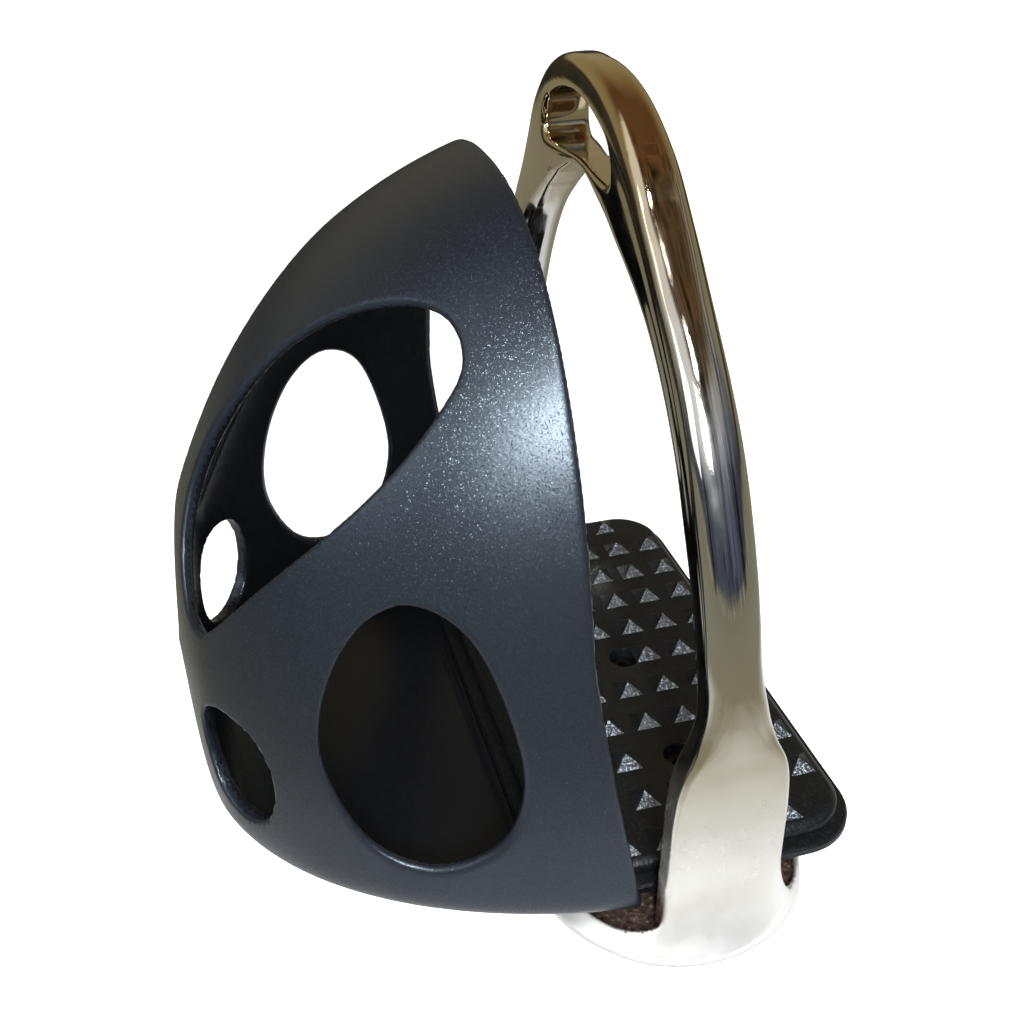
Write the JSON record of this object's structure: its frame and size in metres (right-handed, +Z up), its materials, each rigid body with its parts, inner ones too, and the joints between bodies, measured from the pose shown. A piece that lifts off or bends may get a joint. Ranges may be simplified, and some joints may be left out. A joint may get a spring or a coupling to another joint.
{
  "type": "stirrup iron",
  "caption": "Riding stirrup with polished arch, studded rubber tread and an open toe cage that keeps the foot from sliding through.",
  "frame": {"origin": "middle of the base's underside, in the plane of the arch", "axes": "+X across the foot from leg to leg, -Y towards the toe, +Z up"},
  "size_m": [0.144, 0.12, 0.1387],
  "materials": {
    "polished_metal": "polished",
    "black_plastic": "satin",
    "black_rubber": "matte",
    "steel": "black oxide"
  },
  "bodies": {
    "root": {"frame": "polished_metal", "toe_cage": "black_plastic", "tread_pad": "black_rubber", "screws": "steel", "washers": "steel"}
  },
  "joints": []
}
